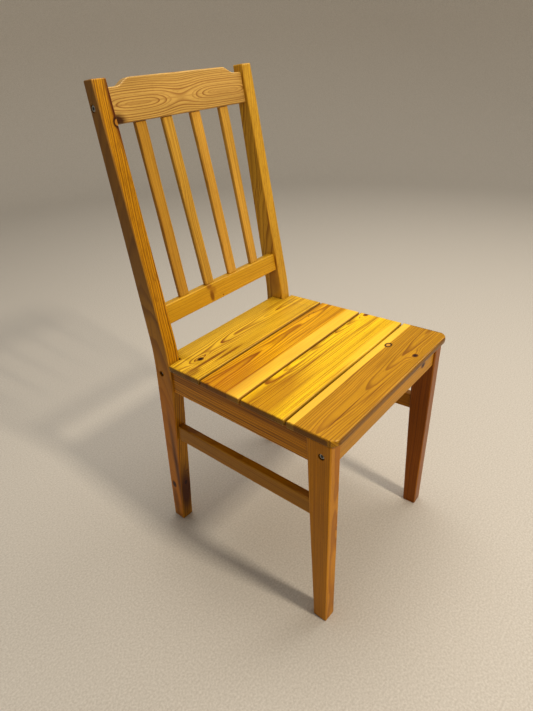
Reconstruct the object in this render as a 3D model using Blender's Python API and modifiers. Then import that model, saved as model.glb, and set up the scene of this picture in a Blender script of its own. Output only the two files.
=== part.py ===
"""A knock-down pine dining chair: two glued side frames, bolted to three cross rails, with a slatted back and a four-board seat.

Metres, +Z up, the front of the chair towards -Y. Left and right are as seen from the front.
"""

import math

import bmesh
import bpy
from mathutils import Matrix, Vector

# Seat and side frames
FRONT_WIDTH = 0.407  # across the outer faces of the front legs
SPLAY = math.radians(1.85)  # each side frame turns in towards the back
STOCK = 0.028  # thickness of the legs
SEAT_HEIGHT = 0.450  # top of the seat, above the front of the legs
SEAT_FALL = math.atan(0.020)  # the seat slopes down towards the back
GAP = 0.0003  # clearance between neighbouring parts
SHARP = math.radians(30)  # an edge sharper than this is rounded
LONG = 0.15  # an edge longer than this runs along a rail
OVERLONG = 0.2  # half the length of a rail before it is sawn to fit
ARRIS = 0.0025
FINE_ARRIS = 0.001
STEPS = 16  # sides of a bolt or a bore
FINE_STEPS = 12  # sides of a dowel or a screw
REACH = 0.02  # how far a drill starts outside the wood

# Front leg, in the plane of its side frame: depth from the front face, then height
FRONT_LEG_TOP_DEPTH = 0.048
FRONT_LEG_FOOT_DEPTH = 0.029

# Rear leg: the straight lines of its front and rear edges, and the radii that join them
REAR_FOOT_FRONT = Vector((0.408, 0.0))
REAR_FOOT_BACK = Vector((0.439, 0.0))
BEND_FRONT = Vector((0.370, 0.434))
BEND_BACK = Vector((0.418, 0.449))
TOP_FRONT = Vector((0.4595, 0.9265))
TOP_BACK = Vector((0.4830, 0.9235))
BEND_RADIUS_FRONT = 0.40
BEND_RADIUS_BACK = 0.50
BEND_STEPS = 6

# Side rail and stretcher
SIDE_RAIL_RECESS = 0.004
SIDE_RAIL_THICKNESS = 0.020
SIDE_RAIL_HEIGHT = 0.0535
SIDE_TENON = (0.010, 0.036, 0.018)  # thickness, height, length
STRETCHER_RECESS = 0.005
STRETCHER_THICKNESS = 0.016
STRETCHER_HEIGHT = 0.036
STRETCHER_FRONT = (0.040, 0.2795)  # depth and height of its centre line at the front leg
STRETCHER_SLOPE = 0.033
STRETCHER_TENON = (0.008, 0.024, 0.012)

# Seat
BOARD_THICKNESS = 0.013
BOARD_WIDTH = 0.096
BOARD_SPACING = 0.0033
BOARD_ARRIS = 0.003
FRONT_OVERHANG = 0.0095
END_OVERHANG = 0.003
SEAT_REAR = 0.404
SEAT_CORNER_RADIUS = 0.018
NOTCH_CLEARANCE = 0.001

# Rails across the chair: front face, thickness, underside
FRONT_RAIL = (0.003, 0.026, 0.388)
REAR_RAIL = (0.389, 0.022, 0.380)

# Back, measured up the front face of the rear legs from the bend
BACK_DEPTH = 0.0145  # middle of the back, behind the front face of the legs
CREST_THICKNESS = 0.018
CREST_LOW = 0.4318
CREST_END = 0.4873
CREST_TOP = 0.4989
CREST_SHOULDER = (0.112, 0.142)  # the curved step begins and ends this far from the middle
CREST_SHOULDER_STEPS = 6
LOWER_RAIL_THICKNESS = 0.020
LOWER_RAIL_LOW = 0.080
LOWER_RAIL_HIGH = 0.1175
SLAT_WIDTH = 0.023
SLAT_THICKNESS = 0.009
SLAT_TENON = 0.009
SLAT_FEET = (-0.1056, -0.0363, 0.0332, 0.1027)  # across, where they meet the lower rail
SLAT_TOPS = (-0.1062, -0.0459, 0.0236, 0.1000)  # the slats lean a little at the crest

# Connector bolts and barrel nuts: M6 socket heads, 10 mm nuts
BOLT_RADIUS = 0.003
BOLT_LENGTH = 0.060  # under the head
HEAD_RADIUS = 0.005
HEAD_HEIGHT = 0.006
SOCKET_WIDTH = 0.005
SOCKET_DEPTH = 0.0032
COUNTERBORE_RADIUS = 0.006
BOLT_HOLE_DEPTH = 0.045  # in the rail
NUT_RADIUS = 0.005
NUT_REACH = 0.030  # centre of the nut from the end of its rail
BOLT_DRIFT = 0.001  # a bolt square to the splayed leg runs forward along its rail
CREST_BOLT_UP = 0.460
CREST_BOLT_SINK = 0.0006
CREST_NUT = 0.010  # length
FRONT_BOLT_HEIGHT = 0.4085
FRONT_BOLT_SINK = 0.002
FRONT_NUT = 0.016
REAR_BOLT_HEIGHT = 0.411
REAR_BOLT_SINK = 0.004
REAR_NUT = 0.013

# Dowels: radius, length
RAIL_DOWEL = (0.004, 0.030)
BACK_DOWEL = (0.003, 0.024)
CHAMFER = 0.0006  # on the ends of dowels, nuts and bolts
CREST_DOWEL_UP = 0.4435
FRONT_DOWEL_HEIGHT = 0.4255
REAR_DOWEL_HEIGHT = 0.3935
BACK_DOWEL_PITCH = 0.020

# Battens under the seat, and their screws
BATTEN_WIDTH = 0.018
BATTEN_HEIGHT = 0.018
BATTEN_START = 0.052
BATTEN_END = 0.366
SCREW_RADIUS = 0.002
SCREW_HEAD_RADIUS = 0.004
SCREW_HEAD_HEIGHT = 0.0024
SCREW_POINT = 0.004
SCREW_LENGTH = 0.026
SCREW_RIM = 0.0004
SCREW_SINK = 0.0008
RECESS_WIDTH = 0.0045
RECESS_SLOT = 0.001
RECESS_DEPTH = 0.0016
BOARD_SCREWS = (0.068, 0.138, 0.237, 0.335)
BATTEN_SCREWS = (0.104, 0.300)

LEAN = math.atan2(TOP_FRONT.x - BEND_FRONT.x, TOP_FRONT.y - BEND_FRONT.y)
FRONT_Y = -(TOP_BACK.x - FRONT_OVERHANG) / 2  # centres the chair front to back
BATTEN_INSET = SIDE_RAIL_RECESS + SIDE_RAIL_THICKNESS + GAP
INWARD = (0, -math.pi / 2, 0)  # turns a bolt's shank in through the leg
OUTWARD = (0, math.pi / 2, 0)
SIDES = {"left": -1, "right": 1}


def clear_scene():
    for leftover in list(bpy.data.objects):
        bpy.data.objects.remove(leftover)


def new_collection(name):
    collection = bpy.data.collections.new(name)
    bpy.context.scene.collection.children.link(collection)
    return collection


def make_material(name, colour, roughness, metallic=0.0):
    material = bpy.data.materials.new(name)
    material.use_nodes = True
    shader = material.node_tree.nodes["Principled BSDF"]
    shader.inputs["Base Color"].default_value = (*colour, 1.0)
    shader.inputs["Roughness"].default_value = roughness
    shader.inputs["Metallic"].default_value = metallic
    return material


clear_scene()
parts = new_collection("pine_dining_chair")
cutters = new_collection("cutters")
pine = make_material("varnished pine", (0.56, 0.27, 0.075), 0.30)
bare_pine = make_material("bare pine", (0.62, 0.42, 0.22), 0.65)
beech = make_material("beech", (0.60, 0.38, 0.22), 0.60)
zinc = make_material("zinc-plated steel", (0.60, 0.60, 0.58), 0.35, 1.0)
steel = make_material("turned steel", (0.45, 0.44, 0.42), 0.45, 1.0)


def new_frame(name, location, rotation=(0.0, 0.0, 0.0), mirror=False):
    """A set of axes that parts are built in."""
    frame = bpy.data.objects.new(name, None)
    frame.location = location
    frame.rotation_euler = rotation
    frame.scale.x = -1 if mirror else 1
    parts.objects.link(frame)
    return frame


def new_object(name, bm, frame, material, collection):
    mesh = bpy.data.meshes.new(name)
    bm.to_mesh(mesh)
    bm.free()
    mesh.materials.append(material)
    made = bpy.data.objects.new(name, mesh)
    made.parent = frame
    collection.objects.link(made)
    return made


def new_part(name, bm, frame, material):
    return new_object(name, bm, frame, material, parts)


def new_cutter(name, bm, frame):
    cutter = new_object(name, bm, frame, steel, cutters)
    cutter.display_type = "WIRE"
    cutter.hide_render = True
    return cutter


def place(made, location, rotation=(0.0, 0.0, 0.0)):
    made.location = location
    made.rotation_euler = rotation
    return made


def combine(part, operation, *others):
    for other in others:
        boolean = part.modifiers.new(other.name, "BOOLEAN")
        boolean.operation = operation
        boolean.solver = "EXACT"
        boolean.object = other


def cut(part, *tools):
    combine(part, "DIFFERENCE", *tools)


def prism(outline, axis, low, high):
    """A flat outline carried along one axis, as a closed body."""
    bm = bmesh.new()
    corners = []
    for point in outline:
        coordinates = list(point)
        coordinates.insert(axis, low)
        corners.append(bm.verts.new(coordinates))
    face = bm.faces.new(corners)
    grown = bmesh.ops.extrude_face_region(bm, geom=[face], use_keep_orig=True)
    moved = [item for item in grown["geom"] if isinstance(item, bmesh.types.BMVert)]
    shift = Vector((0, 0, 0))
    shift[axis] = high - low
    bmesh.ops.translate(bm, verts=moved, vec=shift)
    bmesh.ops.recalc_face_normals(bm, faces=bm.faces)
    return bm


def block(low, high):
    bm = bmesh.new()
    low = Vector(low)
    high = Vector(high)
    bmesh.ops.create_cube(bm, size=1, matrix=Matrix.LocRotScale((low + high) / 2, None, high - low))
    return bm


def cylinder(radius, low, high, steps=STEPS):
    bm = bmesh.new()
    middle = Matrix.Translation((0, 0, (low + high) / 2))
    bmesh.ops.create_cone(
        bm, cap_ends=True, segments=steps, radius1=radius, radius2=radius, depth=high - low, matrix=middle
    )
    return bm


def soften(bm, radius, least=0.0):
    """Round the sharp edges that are longer than the least length."""
    edges = [edge for edge in bm.edges if edge.calc_face_angle(0) > SHARP and edge.calc_length() > least]
    bmesh.ops.bevel(bm, geom=edges, offset=radius, segments=2, profile=0.5, affect="EDGES")
    return bm


def saw(bm, point, normal):
    """Saw the body off at a plane and close the end."""
    geometry = bm.verts[:] + bm.edges[:] + bm.faces[:]
    sawn = bmesh.ops.bisect_plane(bm, geom=geometry, plane_co=point, plane_no=normal, clear_outer=True)
    edges = [item for item in sawn["geom_cut"] if isinstance(item, bmesh.types.BMEdge)]
    bmesh.ops.edgeloop_fill(bm, edges=edges)
    bmesh.ops.recalc_face_normals(bm, faces=bm.faces)


def turn_profile(made, steps):
    """Turn a profile about Z: it runs from the top of the axis, down its outer side, to the bottom."""
    screw = made.modifiers.new("turn", "SCREW")
    screw.axis = "Z"
    screw.steps = steps
    screw.render_steps = steps
    screw.use_merge_vertices = True
    screw.merge_threshold = 0.00001
    return made


def profile_mesh(profile):
    bm = bmesh.new()
    corners = [bm.verts.new((radius, 0, height)) for radius, height in profile]
    for first, second in zip(corners, corners[1:]):
        bm.edges.new((first, second))
    return bm


def chamfered_pin(radius, length):
    """Profile of a short round bar with chamfered ends, centred on the origin."""
    half = length / 2
    edge = half - CHAMFER
    face = radius - CHAMFER
    return [(0, half), (face, half), (radius, edge), (radius, -edge), (face, -half), (0, -half)]


def fillet(before, corner, after, radius):
    """Points of the arc that rounds a corner between two straight lines."""
    towards = (before - corner).normalized()
    away = (after - corner).normalized()
    half_angle = towards.angle(away) / 2
    centre = corner + (towards + away).normalized() * radius / math.sin(half_angle)
    first = corner + towards * radius / math.tan(half_angle) - centre
    last = corner + away * radius / math.tan(half_angle) - centre
    turn = first.angle_signed(last)
    points = []
    for i in range(BEND_STEPS + 1):
        spin = Matrix.Rotation(-turn * i / BEND_STEPS, 2)
        points.append(centre + spin @ first)
    return points


# The front and rear edges of the rear leg, from the foot up
REAR_LEG_FRONT = [
    REAR_FOOT_FRONT,
    *fillet(REAR_FOOT_FRONT, BEND_FRONT, TOP_FRONT, BEND_RADIUS_FRONT),
    TOP_FRONT,
]
REAR_LEG_BACK = [
    REAR_FOOT_BACK,
    *fillet(REAR_FOOT_BACK, BEND_BACK, TOP_BACK, BEND_RADIUS_BACK),
    TOP_BACK,
]


def depth_on(line, height):
    """Depth of a leg's edge at this height."""
    for low, high in zip(line, line[1:]):
        if low.y <= height <= high.y:
            break
    share = (height - low.y) / (high.y - low.y)
    return low.x + (high.x - low.x) * share


def edge_between(line, low, high):
    """The points of a leg's edge between two heights."""
    inner = [point for point in line if low < point.y < high]
    return [Vector((depth_on(line, low), low)), *inner, Vector((depth_on(line, high), high))]


def under_seat(depth):
    """Height of the underside of the boards, less the clearance."""
    return SEAT_HEIGHT - (BOARD_THICKNESS + GAP) / math.cos(SEAT_FALL) - depth * math.tan(SEAT_FALL)


def front_leg_back(height):
    """Depth of the front leg's rear edge, which tapers to the foot."""
    rise = height / under_seat(0)
    return FRONT_LEG_FOOT_DEPTH + (FRONT_LEG_TOP_DEPTH - FRONT_LEG_FOOT_DEPTH) * rise


def back_point(up, behind=BACK_DEPTH):
    """A place in the back as (depth, height): up the front face of the posts, and behind it."""
    along = Vector((math.sin(LEAN), math.cos(LEAN)))
    rearward = Vector((math.cos(LEAN), -math.sin(LEAN)))
    return BEND_FRONT + along * up + rearward * behind


def half_width(depth):
    """Distance from the middle of the chair to a leg's outer face."""
    return FRONT_WIDTH / 2 - depth * math.tan(SPLAY)


def inner_half_width(depth):
    return half_width(depth) - STOCK / math.cos(SPLAY)


def saw_between_legs(bm, frame):
    """Saw a rail to length at the inner faces of the two side frames, less the clearance."""
    axes = Matrix.LocRotScale(frame.location, frame.rotation_euler, None).inverted()
    for side in SIDES.values():
        outward = Vector((side * math.cos(SPLAY), math.sin(SPLAY), 0))
        point = Vector((side * (inner_half_width(0) - GAP), FRONT_Y, 0))
        saw(bm, axes @ point, axes.to_3x3() @ outward)
    return bm


def make_front_leg(side, frame):
    top_back = (FRONT_LEG_TOP_DEPTH, under_seat(FRONT_LEG_TOP_DEPTH))
    outline = [(0, 0), (FRONT_LEG_FOOT_DEPTH, 0), top_back, (0, under_seat(0))]
    return new_part(side + "_front_leg", soften(prism(outline, 0, 0, STOCK), ARRIS), frame, pine)


def make_rear_leg(side, frame):
    outline = REAR_LEG_FRONT + REAR_LEG_BACK[::-1]
    return new_part(side + "_rear_leg", soften(prism(outline, 0, 0, STOCK), ARRIS), frame, pine)


def side_rail_heights(depth):
    return under_seat(depth) - SIDE_RAIL_HEIGHT, under_seat(depth)


def stretcher_heights(depth):
    middle = STRETCHER_FRONT[1] - STRETCHER_SLOPE * (depth - STRETCHER_FRONT[0])
    return middle - STRETCHER_HEIGHT / 2, middle + STRETCHER_HEIGHT / 2


def tenon_block(start, end, middle, inset, tenon, room):
    thick, high, _ = tenon
    low = (inset - room, start - room, middle - high / 2 - room)
    top = (inset + thick + room, end + room, middle + high / 2 + room)
    return block(low, top)


def make_side_member(name, frame, heights, recess, thickness, tenon, front_leg, rear_leg):
    """A rail of the side frame, tenoned into the front leg and the rear leg."""
    ahead = STRETCHER_FRONT[0]
    behind = BEND_FRONT.x
    low, high = heights(ahead)
    outline = [(front_leg_back(high) + GAP, high), (front_leg_back(low) + GAP, low)]
    low, high = heights(behind)
    outline += [(point.x - GAP, point.y) for point in edge_between(REAR_LEG_FRONT, low, high)]
    body = soften(prism(outline, 0, recess, recess + thickness), ARRIS, LONG)
    rail = new_part(name, body, frame, pine)
    inset = recess + (thickness - tenon[0]) / 2
    length = tenon[2]
    front_middle = sum(heights(ahead)) / 2
    rear_middle = sum(heights(behind)) / 2
    front_face = front_leg_back(front_middle)
    rear_face = depth_on(REAR_LEG_FRONT, rear_middle)
    for leg, end, start, stop, middle in (
        (front_leg, "front", front_face - length, front_face + length, front_middle),
        (rear_leg, "rear", rear_face - length, rear_face + length, rear_middle),
    ):
        shape = tenon_block(start, stop, middle, inset, tenon, 0)
        combine(rail, "UNION", new_cutter(name + "_" + end + "_tenon", shape, frame))
        shape = tenon_block(start, stop, middle, inset, tenon, GAP)
        cut(leg, new_cutter(name + "_" + end + "_mortise", shape, frame))
    return rail


def make_seat_rail(name, frame, front, thickness, underside):
    """A rail across the chair whose top follows the slope of the seat."""
    rear = front + thickness
    outline = [(front, underside), (rear, underside), (rear, under_seat(rear)), (front, under_seat(front))]
    body = soften(prism(outline, 0, -OVERLONG, OVERLONG), ARRIS, LONG)
    return new_part(name, saw_between_legs(body, frame), frame, pine)


def crest_outline():
    """The crest's front face: its top edge steps up towards the middle in an S-curve at each end."""
    inner, outer = CREST_SHOULDER
    rising = []
    for i in range(CREST_SHOULDER_STEPS + 1):
        share = i / CREST_SHOULDER_STEPS
        ease = (1 - math.cos(math.pi * share)) / 2
        rising.append((outer + (inner - outer) * share, CREST_END + (CREST_TOP - CREST_END) * ease))
    falling = [(-across, up) for across, up in rising[::-1]]
    bottom = [(-OVERLONG, CREST_LOW), (OVERLONG, CREST_LOW)]
    return bottom + [(OVERLONG, CREST_END)] + rising + falling + [(-OVERLONG, CREST_END)]


def make_back_rail(name, frame, outline, thickness):
    front = BACK_DEPTH - thickness / 2
    body = soften(prism(outline, 1, front, front + thickness), ARRIS)
    return new_part(name, saw_between_legs(body, frame), frame, pine)


def lean_slat(bm, foot, top):
    """Slide a slat built at the middle of the back to its place, with its top off its foot."""
    for vert in bm.verts:
        share = (vert.co.z - LOWER_RAIL_HIGH) / (CREST_LOW - LOWER_RAIL_HIGH)
        vert.co.x += foot + (top - foot) * share
    return bm


def make_slat(number, frame, rails):
    """A slat, housed at both ends in the rails of the back."""
    high = Vector((SLAT_WIDTH / 2, BACK_DEPTH + SLAT_THICKNESS / 2, CREST_LOW + SLAT_TENON))
    low = Vector((-high.x, BACK_DEPTH - SLAT_THICKNESS / 2, LOWER_RAIL_HIGH - SLAT_TENON))
    room = Vector((GAP, GAP, GAP))
    ends = (SLAT_FEET[number - 1], SLAT_TOPS[number - 1])
    shape = lean_slat(block(low - room, high + room), *ends)
    housing = new_cutter(f"slat_{number}_housing", shape, frame)
    for rail in rails:
        cut(rail, housing)
    body = lean_slat(soften(block(low, high), ARRIS), *ends)
    return new_part(f"slat_{number}", body, frame, pine)


def seat_half_width(depth):
    return half_width(depth) + END_OVERHANG


def seat_side(front, rear):
    """One end of a board, from its front corner to its rear corner."""
    return [(seat_half_width(front), front), (seat_half_width(rear), rear)]


def first_board_side(front, rear):
    """The end of the first board, with the rounded corner of the seat."""
    ahead = Vector((0, front))
    corner = Vector((seat_half_width(front), front))
    behind = Vector((seat_half_width(rear), rear))
    return [*fillet(ahead, corner, behind, SEAT_CORNER_RADIUS), behind]


def last_board_side(front, rear):
    """The end of the last board, notched round the post."""
    leg_front = depth_on(REAR_LEG_FRONT, under_seat(rear)) - STOCK * math.sin(SPLAY)
    notch = leg_front - NOTCH_CLEARANCE
    post = [(inner_half_width(depth) - NOTCH_CLEARANCE, depth) for depth in (notch, rear)]
    return seat_side(front, notch) + post


def make_seat_board(number, frame):
    front = (number - 1) * (BOARD_WIDTH + BOARD_SPACING) - FRONT_OVERHANG
    rear = SEAT_REAR if number == 4 else front + BOARD_WIDTH
    side = {1: first_board_side, 4: last_board_side}.get(number, seat_side)(front, rear)
    outline = side + [(-across, depth) for across, depth in side[::-1]]
    body = soften(prism(outline, 2, -BOARD_THICKNESS, 0), BOARD_ARRIS)
    return new_part(f"seat_board_{number}", body, frame, pine)


def make_batten(side, frame):
    outline = [(depth, under_seat(depth) - BATTEN_HEIGHT) for depth in (BATTEN_START, BATTEN_END)]
    outline += [(depth, under_seat(depth)) for depth in (BATTEN_END, BATTEN_START)]
    body = soften(prism(outline, 0, BATTEN_INSET, BATTEN_INSET + BATTEN_WIDTH), FINE_ARRIS)
    return new_part(side + "_seat_batten", body, frame, bare_pine)


def make_bolt(name, frame, location):
    """Socket head bolt, screwed inwards: the top of its head is at the location."""
    under = -HEAD_HEIGHT
    tip = under - BOLT_LENGTH
    profile = [
        (0, 0),
        (HEAD_RADIUS - CHAMFER, 0),
        (HEAD_RADIUS, -CHAMFER),
        (HEAD_RADIUS, under),
        (BOLT_RADIUS, under),
        (BOLT_RADIUS, tip + CHAMFER),
        (BOLT_RADIUS - CHAMFER, tip),
        (0, tip),
    ]
    bolt = turn_profile(new_part(name, profile_mesh(profile), frame, zinc), STEPS)
    hexagon = cylinder(SOCKET_WIDTH / math.sqrt(3), -SOCKET_DEPTH, SOCKET_DEPTH, 6)
    socket = new_cutter(name + "_socket", hexagon, frame)
    cut(bolt, place(socket, location, INWARD))
    return place(bolt, location, INWARD)


def drill_bolt_hole(name, frame, location, sink, leg, rail):
    """The counterbored hole through the leg and into the rail."""
    seat = -sink - HEAD_HEIGHT - GAP
    wide = COUNTERBORE_RADIUS
    narrow = BOLT_RADIUS + GAP
    end = -STOCK - BOLT_HOLE_DEPTH
    profile = [(0, REACH), (wide, REACH), (wide, seat), (narrow, seat), (narrow, end), (0, end)]
    hole = turn_profile(new_cutter(name + "_hole", profile_mesh(profile), frame), STEPS)
    place(hole, location, INWARD)
    cut(leg, hole)
    cut(rail, hole)


def make_nut(name, frame, location, facing, length, rail):
    """Barrel nut in its cross hole, which opens on the side of the rail that it faces."""
    rotation = (facing, 0, 0)
    nut = turn_profile(new_part(name, profile_mesh(chamfered_pin(NUT_RADIUS, length)), frame, steel), STEPS)
    thread = new_cutter(name + "_thread", cylinder(BOLT_RADIUS + GAP, -REACH, REACH), frame)
    cut(nut, place(thread, location, INWARD))
    hole = new_cutter(name + "_hole", cylinder(NUT_RADIUS + GAP, -length / 2 - GAP, REACH), frame)
    cut(rail, place(hole, location, rotation))
    return place(nut, location, rotation)


def make_dowel(name, frame, point, size, leg, rail):
    """Dowel that lies half in the leg and half in the rail."""
    radius, length = size
    location = (STOCK + GAP / 2, point.x + BOLT_DRIFT, point.y)
    profile = profile_mesh(chamfered_pin(radius, length))
    dowel = turn_profile(new_part(name, profile, frame, beech), FINE_STEPS)
    half = length / 2 + GAP
    hole = new_cutter(name + "_hole", cylinder(radius + GAP, -half, half), frame)
    place(hole, location, INWARD)
    cut(leg, hole)
    cut(rail, hole)
    return place(dowel, location, INWARD)


def bolt_rail(name, frame, point, sink, facing, nut_length, leg, rail):
    """The bolt and the barrel nut that hold a rail against a leg, and their holes."""
    across = point.x + BOLT_DRIFT
    make_bolt(name + "_bolt", frame, (sink, across, point.y))
    drill_bolt_hole(name + "_bolt", frame, (0, across, point.y), sink, leg, rail)
    make_nut(name + "_nut", frame, (STOCK + NUT_REACH, across, point.y), facing, nut_length, rail)


def make_screw(name, frame, location, rotation, *woods):
    """Countersunk wood screw and its hole: the head lies just below the surface at the location."""
    top = -SCREW_SINK
    neck = top - SCREW_HEAD_HEIGHT
    tip = top - SCREW_LENGTH
    profile = [
        (0, top),
        (SCREW_HEAD_RADIUS, top),
        (SCREW_HEAD_RADIUS, top - SCREW_RIM),
        (SCREW_RADIUS, neck),
        (SCREW_RADIUS, tip + SCREW_POINT),
        (0, tip),
    ]
    screw = turn_profile(new_part(name, profile_mesh(profile), frame, zinc), FINE_STEPS)
    corner = Vector((RECESS_WIDTH / 2, RECESS_SLOT / 2, 0))
    for turn in (0, math.pi / 2):
        slot = block((-corner.x, -corner.y, top - RECESS_DEPTH), corner)
        bmesh.ops.rotate(slot, verts=slot.verts, matrix=Matrix.Rotation(turn, 3, "Z"))
        cut(screw, place(new_cutter(name + "_slot", slot, frame), location, rotation))
    wide = SCREW_HEAD_RADIUS + GAP
    narrow = SCREW_RADIUS + GAP
    hole_profile = [(0, REACH), (wide, REACH), (wide, top - SCREW_RIM - GAP), (narrow, neck - GAP)]
    hole_profile += [(narrow, tip - GAP), (0, tip - GAP)]
    hole = turn_profile(new_cutter(name + "_hole", profile_mesh(hole_profile), frame), FINE_STEPS)
    place(hole, location, rotation)
    for wood in woods:
        cut(wood, hole)
    return place(screw, location, rotation)


def make_side_frame(side):
    """The legs, rail, stretcher and batten of one side, in axes that run inwards, rearwards and up."""
    turn = SIDES[side] * SPLAY
    place_at = (SIDES[side] * FRONT_WIDTH / 2, FRONT_Y, 0)
    frame = new_frame(side + "_side_frame", place_at, (0, 0, turn), mirror=side == "right")
    front_leg = make_front_leg(side, frame)
    rear_leg = make_rear_leg(side, frame)
    legs = (front_leg, rear_leg)
    sizes = (SIDE_RAIL_RECESS, SIDE_RAIL_THICKNESS, SIDE_TENON)
    side_rail = make_side_member(side + "_side_rail", frame, side_rail_heights, *sizes, *legs)
    sizes = (STRETCHER_RECESS, STRETCHER_THICKNESS, STRETCHER_TENON)
    make_side_member(side + "_stretcher", frame, stretcher_heights, *sizes, *legs)
    return frame, front_leg, rear_leg, side_rail


def fasten_back(side, frame, rear_leg):
    rearward = -math.pi / 2 - LEAN
    point = back_point(CREST_BOLT_UP)
    bolt_rail(side + "_crest", frame, point, CREST_BOLT_SINK, rearward, CREST_NUT, rear_leg, crest)
    make_dowel(side + "_crest_dowel", frame, back_point(CREST_DOWEL_UP), RAIL_DOWEL, rear_leg, crest)
    middle = (LOWER_RAIL_LOW + LOWER_RAIL_HIGH) / 2
    for number, shift in ((1, -BACK_DOWEL_PITCH / 2), (2, BACK_DOWEL_PITCH / 2)):
        point = back_point(middle + shift)
        make_dowel(f"{side}_back_dowel_{number}", frame, point, BACK_DOWEL, rear_leg, lower_rail)


def fasten_seat_rails(side, frame, front_leg, rear_leg):
    depth = FRONT_RAIL[0] + FRONT_RAIL[1] / 2
    point = Vector((depth, FRONT_BOLT_HEIGHT))
    rearward = -math.pi / 2
    bolt_rail(side + "_front", frame, point, FRONT_BOLT_SINK, rearward, FRONT_NUT, front_leg, front_rail)
    point = Vector((depth, FRONT_DOWEL_HEIGHT))
    make_dowel(side + "_front_rail_dowel", frame, point, RAIL_DOWEL, front_leg, front_rail)
    depth = REAR_RAIL[0] + REAR_RAIL[1] / 2
    point = Vector((depth, REAR_BOLT_HEIGHT))
    forward = math.pi / 2
    bolt_rail(side + "_rear", frame, point, REAR_BOLT_SINK, forward, REAR_NUT, rear_leg, rear_rail)
    point = Vector((depth, REAR_DOWEL_HEIGHT))
    make_dowel(side + "_rear_rail_dowel", frame, point, RAIL_DOWEL, rear_leg, rear_rail)


def fasten_seat(side, frame, side_rail):
    batten = make_batten(side, frame)
    middle = BATTEN_INSET + BATTEN_WIDTH / 2
    upward = (math.pi - SEAT_FALL, 0, 0)
    for number, depth in enumerate(BOARD_SCREWS, 1):
        location = (middle, depth, under_seat(depth) - BATTEN_HEIGHT)
        make_screw(f"{side}_board_screw_{number}", frame, location, upward, batten, boards[number - 1])
    for number, depth in enumerate(BATTEN_SCREWS, 1):
        location = (BATTEN_INSET + BATTEN_WIDTH, depth, under_seat(depth) - BATTEN_HEIGHT / 2)
        make_screw(f"{side}_batten_screw_{number}", frame, location, OUTWARD, batten, side_rail)


cross_frame = new_frame("cross_rails", (0, FRONT_Y, 0))
front_rail = make_seat_rail("front_rail", cross_frame, *FRONT_RAIL)
rear_rail = make_seat_rail("rear_rail", cross_frame, *REAR_RAIL)

back_frame = new_frame("back", (0, FRONT_Y + BEND_FRONT.x, BEND_FRONT.y), (-LEAN, 0, 0))
crest = make_back_rail("crest_rail", back_frame, crest_outline(), CREST_THICKNESS)
lower_outline = [(-OVERLONG, LOWER_RAIL_LOW), (OVERLONG, LOWER_RAIL_LOW)]
lower_outline += [(OVERLONG, LOWER_RAIL_HIGH), (-OVERLONG, LOWER_RAIL_HIGH)]
lower_rail = make_back_rail("lower_back_rail", back_frame, lower_outline, LOWER_RAIL_THICKNESS)
for slat in (1, 2, 3, 4):
    make_slat(slat, back_frame, (crest, lower_rail))

seat_frame = new_frame("seat", (0, FRONT_Y, SEAT_HEIGHT), (-SEAT_FALL, 0, 0))
boards = [make_seat_board(number, seat_frame) for number in (1, 2, 3, 4)]

for hand in SIDES:
    side_frame, front, rear, rail = make_side_frame(hand)
    fasten_back(hand, side_frame, rear)
    fasten_seat_rails(hand, side_frame, front, rear)
    fasten_seat(hand, side_frame, rail)
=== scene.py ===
# %% [markdown]
# # A pine dining chair, shown in its finish
# The chair's sizes and joints come from its CAD model, which is loaded below and never changed.
# Here every piece of wood that shows gets the softly rounded edges and the grain of real pine.
# Each stick is worked out as one closed surface: a rounded section carried along a path.

# %% Load the chair
import math

import bpy
import numpy as np
from mathutils import Matrix, Vector


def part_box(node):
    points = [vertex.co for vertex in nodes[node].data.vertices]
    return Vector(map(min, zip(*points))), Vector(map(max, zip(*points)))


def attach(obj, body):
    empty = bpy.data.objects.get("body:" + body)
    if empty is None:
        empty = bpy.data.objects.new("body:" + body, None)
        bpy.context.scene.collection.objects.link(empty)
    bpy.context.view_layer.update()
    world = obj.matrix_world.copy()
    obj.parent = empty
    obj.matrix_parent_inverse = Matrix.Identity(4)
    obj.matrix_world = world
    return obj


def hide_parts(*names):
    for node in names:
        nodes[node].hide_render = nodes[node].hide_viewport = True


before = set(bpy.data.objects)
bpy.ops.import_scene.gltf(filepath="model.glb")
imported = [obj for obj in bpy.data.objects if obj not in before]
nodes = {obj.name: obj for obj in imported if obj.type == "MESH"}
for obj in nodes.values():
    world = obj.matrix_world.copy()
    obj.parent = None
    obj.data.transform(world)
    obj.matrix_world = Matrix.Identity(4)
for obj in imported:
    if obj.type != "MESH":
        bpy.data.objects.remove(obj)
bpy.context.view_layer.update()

# %% [markdown]
# ## Three sets of axes
# The sides splay, the back leans and the seat slopes, so a joiner measures each part in its own
# plane. These three functions take sizes in the plane of a side, the back or the seat.

# %% The planes that the chair is measured in
FRONT_WIDTH = 0.407
STOCK = 0.028
SEAT_HEIGHT = 0.450
SPLAY = math.radians(1.85)
SEAT_FALL = math.atan(0.020)
LEAN = math.atan2(0.4595 - 0.370, 0.9265 - 0.434)
FRONT_Y = -0.23675
BACK_FOOT = (0.370, 0.434)
GAP = 0.0003


def xyz(x, y, z):
    """Three numbers or arrays as one array of points."""
    return np.stack(np.broadcast_arrays(x, y, z), axis=-1).astype(float)


def side_point(inward, depth, height):
    """Left side frame: in from the outer face, back from the front legs' front face, and up."""
    x = -FRONT_WIDTH / 2 + inward * math.cos(SPLAY) + depth * math.sin(SPLAY)
    y = FRONT_Y - inward * math.sin(SPLAY) + depth * math.cos(SPLAY)
    return xyz(x, y, height)


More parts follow.
